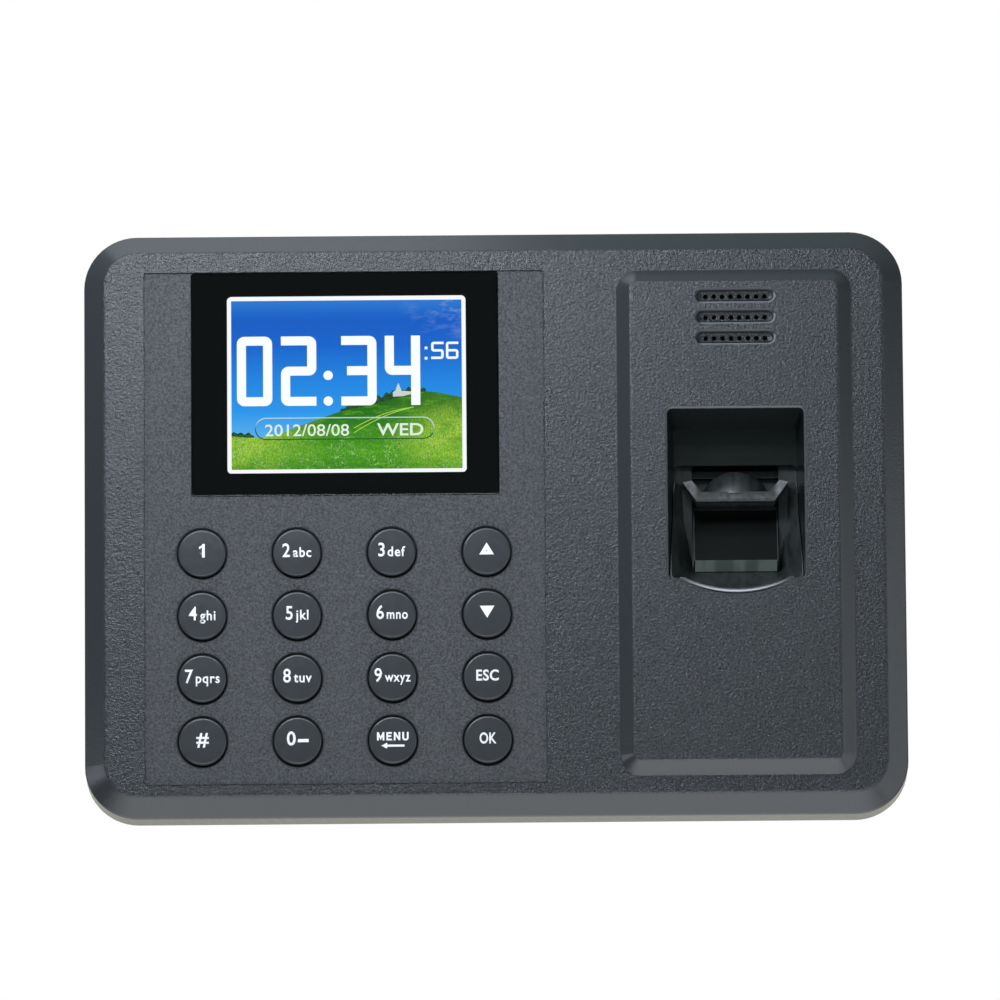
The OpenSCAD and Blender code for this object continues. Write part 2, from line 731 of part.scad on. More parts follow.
module sensor_cradle() {
    color([0.16, 0.17, 0.18]) upright() difference() {
        union() {
            difference() {
                intersection() {
                    cradle_outline();
                    under_rim();
                }
                trough();
                // Behind the fingertip stop the walls stay low
                translate([well_x - 30, stop_back, cradle_flange_lvl]) cube([60, 20, 20]);
            }
            // Raised bead along the curved lip
            intersection() {
                difference() {
                    well_notch(-cradle_gap - 0.1, 22, 36);
                    well_notch(0.1 - lip_wall - cradle_gap, 21, 37);
                }
                translate([0, 0, lip_bead]) under_rim();
            }
            // Mounting flange
            difference() {
                translate([well_x, -2, 0]) block(46, 38, 2, cradle_flange_lvl, cradle_flange_lvl + cradle_flange_t);
                translate([well_x, 0.35, 0]) block(2 * trough_half, 28.4, 1, 12, 20);
            }
            // Plinth under the glass
            intersection() {
                on_glass_plane() translate([-glass_w / 2 - 0.3, -glass_l / 2 - 0.25, -6])
                    cube([glass_w + 0.6, glass_l + 1.2, 6]);
                translate([well_x - 12, -12, 11]) cube([24, 20, 14]);
            }
            // Fingertip stop: a splayed rim around a dome
            difference() {
                translate([well_x, 0, 12.5])
                    linear_extrude(height = 9.5)
                        polygon([
                            [-8.8, 5.2], [8.8, 5.2], [11.9, 9.5], [9.9, stop_back], [7.7, 7.3], [-7.7, 7.3],
                            [-9.9, stop_back], [-11.9, 9.5]
                        ]);
                translate([well_x, 5.2, 22]) rotate([45, 0, 0]) cube([30, 0.7, 0.7], center = true);
            }
            intersection() {
                translate([well_x, 4.9, 14.2]) sphere(r = 8.3, $fn = 64);
                translate([well_x - 9, 7, 11]) cube([18, 6.3, 14]);
            }
        }
        // Seat and light path of the glass, open at its foot, and screw holes
        on_glass_plane() translate([-glass_w / 2 - 0.05, -glass_l / 2 - 1, -glass_t])
            cube([glass_w + 0.1, glass_l + 1.05, glass_t + 4]);
        on_glass_plane() translate([-7.5, -5, -20]) cube([15, 10, 30]);
        for (x = [-1, 1], y = cradle_screw_y)
            rod(well_x + x * cradle_screw_x, y, 1.25, 12, 20);
    }
}

module sensor_glass() {
    color([0.03, 0.03, 0.04]) upright() on_glass_plane()
        translate([-glass_w / 2, -glass_l / 2, -glass_t]) cube([glass_w, glass_l, glass_t]);
}

module sensor_housing() {
    color(abs_black) upright() translate([well_x, -0.5, 0]) difference() {
        block(24, 19, 1, sensor_base_lvl, 10.9);
        block(21.6, 16.6, 0.5, sensor_base_lvl - 1, 9.7);
        block(15, 9.6, 0.5, 9, 12);
    }
}

module sensor_board() {
    color(board_green) upright() translate([well_x, -0.5, 0])
        block(24, 19, 1, sensor_base_lvl - 1.2, sensor_base_lvl);
}

module sensor_lens() {
    color([0.6, 0.7, 0.8, 0.5]) upright() translate([well_x, -0.5, 0])
        rotate_extrude() polygon(concat(
            [[0, sensor_base_lvl], [3, sensor_base_lvl], [3, 7.4], [2.2, 7.4]],
            [for (a = [30:15:90]) [2.2 * cos(a), 7.4 + 1.1 * sin(a)]]
        ));
}

module sensor_leds() {
    color([0.9, 0.2, 0.2]) upright()
        for (x = [-1, 1], y = [-1, 1])
            translate([well_x + x * 8, -0.5 + y * 5.5, sensor_base_lvl + 0.6]) cube([2, 1.25, 1.2], center = true);
}

module cradle_screws() {
    color(steel) upright()
        for (x = [-1, 1], y = cradle_screw_y)
            screw(
                well_x + x * cradle_screw_x, y, 0.95, 2.1, 1.3,
                cradle_flange_lvl - 1.3, cradle_flange_lvl + cradle_flange_t + 5.5
            );
}

module sensor_cable() {
    color("ivory") upright() {
        rotate([0, 0, -90])
            ribbon(4.6, 8, [[well_x - 12.2, 4.8], [33, 4.8], [26, 9.6], [20, 9.6]]);
        translate([19.6, -4.6, main_top + 1.6]) cube([4, 11, 3.2], center = true);
    }
}

// ---- Rear case ----

module rear_case() {
    color(abs_dark) upright() difference() {
        union() {
            difference() {
                slab(rear_w, rear_h, rear_r, [[1.4, back_lvl], [0.4, back_lvl + 0.5], [0, back_lvl + 1.5], [0, rim_lvl]]);
                block(rear_w - 2 * rear_t, rear_h - 2 * rear_t, rear_r - rear_t, floor_lvl, rim_lvl + 1);
            }
            for (p = case_screw_at) rod(p[0], p[1], 3.8, back_lvl, 12.4);
            for (p = main_screw_at) rod(p[0], p[1], 2.6, floor_lvl - 1, main_lvl);
            // Ribs
            for (x = [-62, 28]) translate([x - 0.6, -60, floor_lvl - eps]) cube([1.2, 120, 1.2]);
        }
        // Pocket for the wall plate and slots for its hooks
        block(plate_w + 1, plate_h + 1, 2, 0, plate_pocket_lvl);
        for (p = hook_at) translate([p[0] - 5.2, p[1] - 4.4, 0]) cube([10.4, 9.4, floor_lvl + 1.4]);
        // Way for the locking tab
        translate([-8.4, lock_tab_y - 0.3, 0]) cube([16.8, 2.6, 14]);
        translate([-8.4, lock_tab_y - 0.3, 0]) cube([16.8, -plate_h / 2 - lock_tab_y + 1, plate_pocket_lvl]);
        translate([0, -rear_h / 2 - 1, 6.4]) rotate([-90, 0, 0]) cylinder(r = 1.7, h = 6);
        translate([0, -rear_h / 2 - 1, 6.4]) rotate([-90, 0, 0]) cylinder(r = 3, h = 1.8);
        // Screw wells
        for (p = case_screw_at) {
            rod(p[0], p[1], 3, back_lvl - 1, 8);
            rod(p[0], p[1], 1.6, 7, 13);
        }
        for (p = main_screw_at) rod(p[0], p[1], 1.1, floor_lvl - 0.9, main_lvl + 1);
        // Ports
        translate([usb_x - usb_w / 2 - 0.3, -rear_h / 2 - 1, main_top - 0.3]) cube([usb_w + 0.6, 6, usb_h + 0.6]);
        translate([jack_x - jack_w / 2 - 0.3, -rear_h / 2 + 0.5, main_top - 0.3]) cube([jack_w + 0.6, 6, jack_h + 0.6]);
        translate([jack_x, -rear_h / 2 - 1, jack_lvl]) rotate([-90, 0, 0]) cylinder(r = 3.6, h = 6);
        // Seats for the rubber feet and for the label
        for (p = foot_at) rod(p[0], p[1], foot_r + 0.1, 0, 1.2);
        translate([0, 53.4, 0]) block(60, 14, 1, 0, back_lvl + 0.25);
        // Vents
        for (i = [0:6])
            translate([i * 3.2 - 64, vent_y, 0]) block(1.4, 14, 0.69, 0, floor_lvl + 2);
    }
}

module wall_plate() {
    color(steel) upright() {
        difference() {
            union() {
                block(plate_w, plate_h, 4, 0, plate_t);
                translate([-8, lock_tab_y, 0]) cube([16, -plate_h / 2 - lock_tab_y + 1, plate_t]);
                translate([-8, lock_tab_y, 0]) cube([16, 1.6, 9.6]);
            }
            for (x = [-1, 1], y = [-1, 1])
                rod(x * wall_hole_x / 2, y * wall_hole_y / 2, wall_hole_r, -1, plate_t + 1);
            translate([0, lock_tab_y - 1, 6.4]) rotate([-90, 0, 0]) cylinder(r = 1.25, h = 4);
            for (p = hook_at) translate([p[0] - 4.6, p[1] - 0.4, -1]) cube([9.2, 4.8, 4]);
        }
        // Hooks bent out of the sheet, pointing up
        for (p = hook_at) {
            translate([p[0] - 4, p[1] - 1.9, 0]) cube([8, 1.5, 4.8]);
            translate([p[0] - 4, p[1] - 1.9, 3.9]) cube([8, 4.2, 0.9]);
        }
    }
}

module wall_plate_lock_screw() {
    color(steel) upright() translate([0, -rear_h / 2 + 0.1, 6.4]) rotate([-90, 0, 0])
        screw(0, 0, 1.25, 2.6, 0.7, 0, lock_tab_y + 4 + rear_h / 2);
}

module case_screws() {
    color(steel) upright()
        for (p = case_screw_at) screw(p[0], p[1], 1.3, 2.7, 1.8, 6.2, 21);
}

module rubber_feet() {
    color([0.06, 0.06, 0.06]) upright()
        for (p = foot_at) translate([p[0], p[1], 0])
            rotate_extrude() polygon([[0, 0], [foot_r - 0.5, 0], [foot_r, 0.4], [foot_r, 1.2], [0, 1.2]]);
}

module rating_label() {
    color([0.85, 0.86, 0.87]) upright() translate([0, 53.4, 0]) block(58, 12, 0.8, back_lvl + 0.1, back_lvl + 0.25);
}

front_cover();
rear_case();
display_window();
window_mask();
lcd_panel();
lcd_backlight();
lcd_frame();
lcd_flex_cable();
keypad_mat();
keypad_board();
keypad_screws();
keypad_cable();
for (row = [0:3], col = [0:3])
    key(row, col);
main_board();
main_board_screws();
processor_chip();
memory_chip();
capacitors();
coin_cell();
coin_cell_holder();
usb_port();
dc_jack();
speaker_frame();
speaker_magnet();
speaker_cone();
speaker_cloth();
speaker_screws();
speaker_wires();
sensor_cradle();
sensor_glass();
sensor_housing();
sensor_board();
sensor_lens();
sensor_leds();
cradle_screws();
sensor_cable();
wall_plate();
wall_plate_lock_screw();
case_screws();
rubber_feet();
rating_label();
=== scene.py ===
import math

import bmesh
import bpy
from mathutils import Matrix, Vector
from mathutils.bvhtree import BVHTree


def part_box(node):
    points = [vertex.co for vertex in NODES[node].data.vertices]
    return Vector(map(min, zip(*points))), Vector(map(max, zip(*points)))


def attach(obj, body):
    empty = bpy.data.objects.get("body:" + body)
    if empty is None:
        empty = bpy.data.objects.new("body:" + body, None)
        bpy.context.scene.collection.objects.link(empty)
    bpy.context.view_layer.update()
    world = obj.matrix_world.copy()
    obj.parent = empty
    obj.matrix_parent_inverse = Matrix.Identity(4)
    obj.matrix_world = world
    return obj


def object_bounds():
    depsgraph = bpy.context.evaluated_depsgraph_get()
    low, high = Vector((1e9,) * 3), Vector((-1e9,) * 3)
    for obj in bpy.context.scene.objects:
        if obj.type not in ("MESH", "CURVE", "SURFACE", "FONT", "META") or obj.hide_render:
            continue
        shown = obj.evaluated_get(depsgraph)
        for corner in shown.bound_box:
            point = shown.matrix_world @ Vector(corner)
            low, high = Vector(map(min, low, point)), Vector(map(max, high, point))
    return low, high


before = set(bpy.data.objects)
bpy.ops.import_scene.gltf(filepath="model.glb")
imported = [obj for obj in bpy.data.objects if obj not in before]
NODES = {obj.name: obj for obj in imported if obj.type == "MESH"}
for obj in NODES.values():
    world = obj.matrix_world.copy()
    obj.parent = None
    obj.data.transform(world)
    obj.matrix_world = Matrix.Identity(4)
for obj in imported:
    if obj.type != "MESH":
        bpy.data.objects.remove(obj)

CAD_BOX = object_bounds()
MM = 0.001
KEYS = [name for name in NODES if name.startswith("key_")]


# ---- Materials ----

def shader(name, color, roughness, **sockets):
    """A material with a Principled shader whose sockets are set to plain values."""
    mat = bpy.data.materials.new(name)
    mat.use_nodes = True
    bsdf = mat.node_tree.nodes["Principled BSDF"]
    bsdf.inputs["Base Color"].default_value = (*color, 1)
    bsdf.inputs["Roughness"].default_value = roughness
    for socket, value in sockets.items():
        bsdf.inputs[socket.replace("_", " ")].default_value = value
    return mat


# The Mix node's sockets when it mixes colours
MIX_A, MIX_B, MIXED = 6, 7, 2


class Nodes:
    """Adds nodes to a tree, linking an input to another node's socket or setting it to a value."""

    def __init__(self, tree):
        self.tree = tree

    def node(self, kind, inputs=None, **settings):
        made = self.tree.nodes.new(kind)
        for key, value in settings.items():
            setattr(made, key, value)
        for socket, value in (inputs or {}).items():
            if isinstance(value, bpy.types.NodeSocket):
                self.tree.links.new(value, made.inputs[socket])
            else:
                made.inputs[socket].default_value = value
        return made

    def math(self, operation, a, b=0.0, clamp=False):
        return self.node("ShaderNodeMath", {0: a, 1: b}, operation=operation, use_clamp=clamp).outputs[0]

    def times(self, a, b):
        return self.math("MULTIPLY", a, b)

    def ramp(self, value, low, high, to_low=0.0, to_high=1.0):
        inputs = {"Value": value, "From Min": low, "From Max": high, "To Min": to_low, "To Max": to_high}
        return self.node("ShaderNodeMapRange", inputs).outputs[0]

    def mix(self, share, a, b):
        """Goes from colour a to colour b as the share goes from 0 to 1."""
        a, b = (color if isinstance(color, bpy.types.NodeSocket) else (*color, 1) for color in (a, b))
        inputs = {"Factor": share, MIX_A: a, MIX_B: b}
        return self.node("ShaderNodeMix", inputs, data_type="RGBA").outputs[MIXED]


class Graph(Nodes):
    """The nodes of one material, with patterns laid out in the object's own coordinates."""

    def __init__(self, mat):
        super().__init__(mat.node_tree)
        self.mat = mat
        self.bsdf = self.tree.nodes["Principled BSDF"]
        self.place = self.node("ShaderNodeTexCoord").outputs["Object"]

    def noise(self, scale, detail=2.0, roughness=0.5, place=None):
        inputs = {"Vector": place or self.place, "Scale": scale, "Detail": detail, "Roughness": roughness}
        return self.node("ShaderNodeTexNoise", inputs).outputs["Fac"]

    def grain(self, coarse, fine, share, detail=2.0):
        """Two sizes of noise added up, the coarse one with this share."""
        large = self.times(self.noise(coarse, detail, 0.6), share)
        small = self.times(self.noise(fine, 2.0, 0.6), 1 - share)
        return self.math("ADD", large, small)

    def stretched(self, scale, turn=(0, 0, 0)):
        """The object's coordinates turned and scaled, for a pattern that runs along one axis."""
        inputs = {"Vector": self.place, "Rotation": turn, "Scale": scale}
        return self.node("ShaderNodeMapping", inputs).outputs[0]

    def axis(self, index, vector=None):
        return self.node("ShaderNodeSeparateXYZ", {0: vector or self.place}).outputs[index]

    def normal(self):
        return self.node("ShaderNodeNewGeometry").outputs["Normal"]

    def inside(self, value, low, high, edge, share=1.0):
        """The share between two bounds, fading out over this edge."""
        rise = self.ramp(value, low - edge, low + edge)
        fall = self.ramp(value, high + edge, high - edge)
        return self.times(self.times(rise, fall), share)

    def within(self, area, edge, share=1.0):
        """The share within an area of the face, given as its bounds in x and its bounds in z."""
        across, up = area
        return self.inside(self.axis(0), *across, edge, self.inside(self.axis(2), *up, edge, share))

    def bump(self, height, distance):
        self.feed("Normal", self.node("ShaderNodeBump", {"Height": height, "Distance": distance}).outputs[0])

    def feed(self, socket, value):
        self.tree.links.new(value, self.bsdf.inputs[socket])


def scaled(color, factor):
    return tuple(factor * c for c in color)


def grained_plastic(name, color, roughness, depth):
    """Moulded plastic with a spark-eroded grain."""
    g = Graph(shader(name, color, roughness))
    g.bump(g.grain(1500, 4200, 0.6, 3.0), depth)
    speck = g.ramp(g.noise(2600, 2.0, 0.7), 0.35, 0.7)
    g.feed("Base Color", g.mix(speck, scaled(color, 0.72), scaled(color, 1.35)))
    g.feed("Roughness", g.ramp(g.noise(900), 0.3, 0.7, roughness - 0.04, roughness + 0.05))
    return g.mat


# The cover's levels in y, and areas of its face as bounds in x and bounds in z
PANEL_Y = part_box("front_cover")[0].y
PLAIN_Y = PANEL_Y + 3 * MM
KEYPAD_ZONE = ((-78.95 * MM, 11.45 * MM), (-59.9 * MM, 57.7 * MM))
FINGER_WELL = ((38.5 * MM, 70.2 * MM), (-17.8 * MM, 25.5 * MM))
WELL_MOUTH = ((38.0 * MM, 70.7 * MM), (-18.1 * MM, 25.8 * MM))
SPEAKER_SLOTS = ((44.0 * MM, 65.1 * MM), (38.3 * MM, 54.0 * MM))


def cover_material():
    """Dark grained ABS: satin around the keypad zone and matt in it, with painted shade that makes it nearly
    black inside the finger well, painted highlights on rims and painted shade in the slots.
    """
    g = Graph(shader("cover_abs", (0.03, 0.03, 0.03), 0.36))
    depth = g.axis(1)
    normal = g.normal()
    facing = g.math("ABSOLUTE", g.axis(1, normal))
    sunk = g.ramp(depth, PLAIN_Y + 0.15 * MM, PLAIN_Y + 0.30 * MM)
    zone = g.within(KEYPAD_ZONE, 0.3 * MM, sunk)
    well = g.within(FINGER_WELL, 0.2 * MM, g.ramp(depth, PANEL_Y + 0.3 * MM, PANEL_Y + 0.8 * MM))

    # Grain that is deeper in the keypad zone, and faint in the well and on slopes
    flat = g.ramp(facing, 0.80, 0.97, 0.10, 1.0)
    relief = g.times(g.ramp(zone, 0.0, 1.0, 1.0, 2.2), g.ramp(well, 0.0, 1.0, 1.0, 0.12))
    g.bump(g.times(g.grain(1500, 3600, 0.65), g.times(flat, relief)), 0.4 * MM)

    # Specks of darker and lighter plastic, evened out on slopes
    speck = g.times(g.ramp(g.noise(2000, 2.0, 0.75), 0.36, 0.64), flat)
    speck = g.math("ADD", speck, g.times(g.math("SUBTRACT", 1.0, flat), 0.5))
    plain = g.mix(speck, (0.0120, 0.0135, 0.0148), (0.042, 0.0465, 0.051))
    matt = g.mix(speck, (0.0235, 0.0250, 0.0268), (0.085, 0.0895, 0.095))
    # Painted shade: inside the finger well the plastic is coloured nearly black
    face = g.mix(well, g.mix(zone, plain, matt), (0.004, 0.0068, 0.0064))

    # Painted highlights on the rims all around the finger well, and on the loudspeaker slots where they face
    # the upper left
    near_face = g.ramp(depth, PANEL_Y + 0.6 * MM, PANEL_Y + 0.3 * MM)
    rim = g.times(g.ramp(facing, 0.97, 0.85), near_face)
    upper_left = g.math("SUBTRACT", g.axis(2, normal), g.axis(0, normal))
    slot_rim_highlight = g.times(g.within(SPEAKER_SLOTS, 0.2 * MM, rim), g.ramp(upper_left, 0.25, 0.60))
    well_rim_highlight = g.times(g.within(WELL_MOUTH, 0.1 * MM, rim), 0.20)
    face = g.mix(g.math("ADD", slot_rim_highlight, well_rim_highlight, True), face, (0.18, 0.19, 0.20))

    # Painted shade inside the slots
    slot_shade = g.within(SPEAKER_SLOTS, 0.2 * MM, g.ramp(depth, PANEL_Y + 0.4 * MM, PANEL_Y + 0.9 * MM))
    g.feed("Base Color", g.mix(g.times(slot_shade, 0.65), face, (0.006, 0.0075, 0.0075)))
    satin = g.ramp(g.noise(700), 0.3, 0.7, 0.20, 0.25)
    g.feed("Roughness", g.math("ADD", satin, g.times(zone, 0.33)))
    return g.mat


def prism_material():
    """Black coated prism whose ground foot, facing down, is pale and given a faint painted glow that stands
    in for the light it catches from below.
    """
    black = (0.002, 0.003, 0.003)
    g = Graph(shader("prism", black, 0.25, Specular_IOR_Level=0.20, Emission_Strength=0.85))
    foot = g.ramp(g.axis(2, g.normal()), -0.6, -0.8)
    bands = g.ramp(g.noise(330, 2.0, 0.5, g.stretched((1, 0.1, 0.1))), 0.4, 0.6)
    pale = g.mix(bands, (0.040, 0.056, 0.053), (0.070, 0.092, 0.087))
    g.feed("Base Color", g.mix(foot, black, pale))
    # Painted light: the ground foot's glow
    g.feed("Emission Color", g.mix(foot, (0, 0, 0), pale))
    return g.mat


# The finger guide's middle in x, the centre of the arc of its lip in z, and the radii on that arc of the
# bead's painted highlight
GUIDE_X = 54.35 * MM
LIP_Z = 8.1 * MM
BEAD = (24.75 * MM, 25.12 * MM)


def cradle_material():
    """Dark glossy ABS, with painted highlights on the fingertip stop's rim and on the lip's bead."""
    g = Graph(shader("cradle_abs", (0.016, 0.020, 0.020), 0.28))
    x, depth, z = (g.axis(i) for i in range(3))
    aside = g.math("ABSOLUTE", g.math("SUBTRACT", x, GUIDE_X))
    g.bump(g.noise(2600, 2.0), 0.016 * MM)

    # Painted highlight on the stop: all over its two arms, and on its bar more toward its lower edge
    arms = g.ramp(aside, 8.3 * MM, 9.8 * MM)
    bar = g.ramp(z, 7.2 * MM, 5.6 * MM, 0.08, 0.42)
    patches = g.ramp(g.noise(900, 3.0), 0.35, 0.65, 0.45, 1.1)
    stop = g.times(g.inside(z, 4.5 * MM, 10.3 * MM, 0.2 * MM), g.ramp(depth, -20.8 * MM, -21.7 * MM))
    stop = g.times(stop, g.times(g.math("MAXIMUM", arms, bar), patches))

    # Painted highlight: a pale line along the crest of the lip's bead
    rise = g.math("SUBTRACT", z, LIP_Z)
    radius = g.math("SQRT", g.math("ADD", g.times(aside, aside), g.times(rise, rise)))
    low_front = g.times(g.ramp(z, -11.8 * MM, -13.2 * MM), g.ramp(depth, -28.5 * MM, -29.4 * MM))
    lip = g.times(low_front, g.inside(radius, *BEAD, 0.12 * MM))

    streaks = g.ramp(g.noise(700, 3.0, 0.6, g.stretched((1, 0.3, 0.3))), 0.35, 0.65)
    base = g.mix(streaks, (0.014, 0.0175, 0.0170), (0.034, 0.039, 0.0385))
    stop_highlit = g.mix(stop, base, (0.21, 0.213, 0.215))
    g.feed("Base Color", g.mix(lip, stop_highlit, (0.50, 0.51, 0.52)))
    g.feed("Roughness", g.ramp(g.math("ADD", stop, lip, True), 0.0, 1.0, 0.36, 0.24))
    return g.mat


def smooth_plastic(name, color, roughness, depth=0.006 * MM):
    """Satin moulded plastic with a faint unevenness."""
    g = Graph(shader(name, color, roughness))
    g.bump(g.noise(2600, 2.0), depth)
    g.feed("Base Color", g.mix(g.noise(500, 3.0), scaled(color, 0.9), scaled(color, 1.1)))
    g.feed("Roughness", g.ramp(g.noise(700), 0.3, 0.7, roughness - 0.03, roughness + 0.04))
    return g.mat


def metal(name, color, roughness, streak=(1, 1, 1)):
    """Rolled sheet or plated metal, streaked along one axis."""
    g = Graph(shader(name, color, roughness, Metallic=1.0))
    lines = g.noise(900, 4.0, 0.6, g.stretched(streak))
    g.feed("Roughness", g.ramp(lines, 0.3, 0.7, roughness - 0.08, roughness + 0.1))
    g.feed("Base Color", g.mix(lines, scaled(color, 0.85), color))
    g.bump(lines, 0.004 * MM)
    return g.mat


def glow(name, color, strength=1.0):
    """A lit part of the display's picture."""
    lit = {"Emission_Color": (*color, 1), "Emission_Strength": strength}
    return shader(name, (0, 0, 0), 0.6, Specular_IOR_Level=0.0, **lit)


def board_material():
    """Green solder mask over copper tracks."""
    g = Graph(shader("board_mask", (0.01, 0.10, 0.035), 0.32))
    tracks = g.node("ShaderNodeTexBrick", {
        "Vector": g.stretched((1, 1, 1), (math.pi / 2, 0, 0)), "Scale": 260.0, "Mortar Size": 0.03,
        "Color1": (0.008, 0.085, 0.03, 1), "Color2": (0.012, 0.12, 0.04, 1), "Mortar": (0.03, 0.20, 0.06, 1),
    })
    g.feed("Base Color", tracks.outputs["Color"])
    g.bump(tracks.outputs["Fac"], 0.02 * MM)
    return g.mat


def paint(node, mat):
    """Gives a CAD node this material in all its slots."""
    data = NODES[node].data
    if not data.materials:
        data.materials.append(mat)
    for i in range(len(data.materials)):
        data.materials[i] = mat


COVER = cover_material()
REAR = grained_plastic("rear_abs", (0.030, 0.032, 0.035), 0.5, 0.02 * MM)
KEY = smooth_plastic("key_abs", (0.034, 0.0365, 0.0400), 0.31)
CRADLE = cradle_material()
BLACK = smooth_plastic("black_moulding", (0.012, 0.012, 0.013), 0.45)
RUBBER = smooth_plastic("rubber", (0.010, 0.010, 0.010), 0.75, 0.02 * MM)
SILICONE = smooth_plastic("silicone_mat", (0.05, 0.05, 0.052), 0.65)
PALE = smooth_plastic("pale_plastic", (0.70, 0.70, 0.70), 0.4)
CABLE = smooth_plastic("cable_pvc", (0.55, 0.52, 0.45), 0.5)
RED_WIRE = smooth_plastic("wire_pvc", (0.45, 0.02, 0.02), 0.45)
FLEX = smooth_plastic("polyimide", (0.40, 0.17, 0.03), 0.3)
CHIP = smooth_plastic("chip_epoxy_black", (0.014, 0.014, 0.015), 0.55)
SLEEVE = smooth_plastic("capacitor_blue", (0.015, 0.015, 0.06), 0.3)
LABEL = smooth_plastic("label_polyester", (0.62, 0.63, 0.64), 0.35)
CONE = smooth_plastic("speaker_cone_paper", (0.02, 0.02, 0.022), 0.85, 0.03 * MM)
SCREW = metal("zinc_plate", (0.55, 0.55, 0.56), 0.32)
SHEET = metal("galvanised", (0.60, 0.61, 0.62), 0.38, (0.05, 1, 1))
TIN = metal("tin_plate", (0.70, 0.70, 0.71), 0.25, (1, 1, 0.08))
BOARD = board_material()
WHITE = smooth_plastic("legend_print", (0.88, 0.88, 0.87), 0.5, 0.003 * MM)
ACRYLIC = shader("acrylic", (1, 1, 1), 0.02, Transmission_Weight=1.0, IOR=1.49)
LENS = shader("lens_glass", (0.9, 0.95, 1.0), 0.01, Transmission_Weight=1.0, IOR=1.5)
MASK = smooth_plastic("black_print", (0.0030, 0.0036, 0.0036), 0.35, 0.002 * MM)
LCD_DARK = smooth_plastic("lcd_edge", (0.01, 0.012, 0.014), 0.3)
SENSOR = prism_material()
LED = shader("led_red", (0.6, 0.03, 0.02), 0.15)
CLOTH = smooth_plastic("dust_cloth", (0.008, 0.008, 0.008), 0.95, 0.06 * MM)

FINISHES = {
    COVER: ["front_cover"],
    REAR: ["rear_case"],
    KEY: KEYS,
    ACRYLIC: ["display_window"],
    MASK: ["window_mask"],
    LCD_DARK: ["lcd_panel"],
    PALE: ["lcd_backlight"],
    TIN: ["lcd_frame", "usb_port", "coin_cell"],
    FLEX: ["lcd_flex_cable"],
    SILICONE: ["keypad_mat"],
    BOARD: ["keypad_board", "main_board", "sensor_board"],
    CABLE: ["keypad_cable", "sensor_cable"],
    SCREW: [
        "keypad_screws", "main_board_screws", "speaker_magnet", "speaker_screws", "cradle_screws",
        "wall_plate_lock_screw", "case_screws",
    ],
    CHIP: ["processor_chip", "memory_chip"],
    SLEEVE: ["capacitors"],
    BLACK: ["coin_cell_holder", "dc_jack", "speaker_frame", "sensor_housing"],
    CONE: ["speaker_cone"],
    CLOTH: ["speaker_cloth"],
    RED_WIRE: ["speaker_wires"],
    CRADLE: ["sensor_cradle"],
    SENSOR: ["sensor_glass"],
    LENS: ["sensor_lens"],
    LED: ["sensor_leds"],
    SHEET: ["wall_plate"],
    RUBBER: ["rubber_feet"],
    LABEL: ["rating_label"],
}
for finish, names in FINISHES.items():
    for name in names:
        paint(name, finish)


# ---- Building flat pieces that lie parallel to the face ----

def new_piece(name, mesh, mat, body):
    """An object of one material that rides on a body."""
    piece = bpy.data.objects.new(name, mesh)
    bpy.context.scene.collection.objects.link(piece)
    mesh.materials.clear()
    mesh.materials.append(mat)
    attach(piece, body)
    return piece


def corner_path(points, radius, steps=6, closed=False):
    """The points of a line whose corners are rounded to a radius."""
    made = []
    count = len(points)
    for i, here in enumerate(points):
        here = Vector(here)
        if not closed and i in (0, count - 1):
            made.append(here)
            continue
        back = (Vector(points[i - 1]) - here).normalized()
        ahead = (Vector(points[(i + 1) % count]) - here).normalized()
        half = back.angle(ahead) / 2
        centre = here + (back + ahead).normalized() * radius / math.sin(half)
        start = here + back * radius / math.tan(half) - centre
        end = here + ahead * radius / math.tan(half) - centre
        made += [centre + start.slerp(end, k / steps).normalized() * radius for k in range(steps + 1)]
    return made


def stroke_faces(bm, path, width, closed=False):
    """A flat ribbon of even width along a path in (x, z), in metres."""
    count = len(path)
    pairs = []
    for i, here in enumerate(path):
        before = path[i - 1] if closed or i else here
        after = path[(i + 1) % count] if closed or i < count - 1 else here
        along = (after - before).normalized()
        side = Vector((-along.y, along.x)) * width / 2
        turn = 1.0
        if (closed or 0 < i < count - 1) and (here - before).length and (after - here).length:
            turn = max(math.cos((here - before).angle(after - here) / 2), 0.5)
        pairs.append([bm.verts.new((p.x, 0, p.y)) for p in (here + side / turn, here - side / turn)])
    spans = zip(pairs, pairs[1:] + pairs[:1]) if closed else zip(pairs, pairs[1:])
    for a, b in spans:
        bm.faces.new((a[0], a[1], b[1], b[0]))


def fill_faces(bm, outline):
    bm.faces.new([bm.verts.new((p[0], 0, p[1])) for p in outline])


def sheet_mesh(name, bm, front, thickness=0.02 * MM):
    """Turns flat faces in y = 0 into a thin closed sheet whose front lies at this y."""
    bmesh.ops.remove_doubles(bm, verts=bm.verts, dist=1e-8)
    bmesh.ops.triangulate(bm, faces=bm.faces)
    bmesh.ops.recalc_face_normals(bm, faces=bm.faces)
    for face in bm.faces:
        if face.normal.y > 0:
            face.normal_flip()
    flat = list(bm.faces)
    extruded = bmesh.ops.extrude_face_region(bm, geom=flat, use_keep_orig=True)["geom"]
    lifted = [v for v in extruded if isinstance(v, bmesh.types.BMVert)]
    for vert in bm.verts:
        vert.co.y = front + thickness
    for vert in lifted:
        vert.co.y = front
    bmesh.ops.recalc_face_normals(bm, faces=bm.faces)
    mesh = bpy.data.meshes.new(name)
    bm.to_mesh(mesh)
    bm.free()
    return mesh


def disc(centre, radius, steps=24):
    turns = (2 * math.pi * i / steps for i in range(steps))
    return [(centre[0] + radius * math.cos(turn), centre[1] + radius * math.sin(turn)) for turn in turns]


def rectangle(low, high):
    return [(low.x, low.y), (high.x, low.y), (high.x, high.y), (low.x, high.y)]


# ---- The display's picture ----

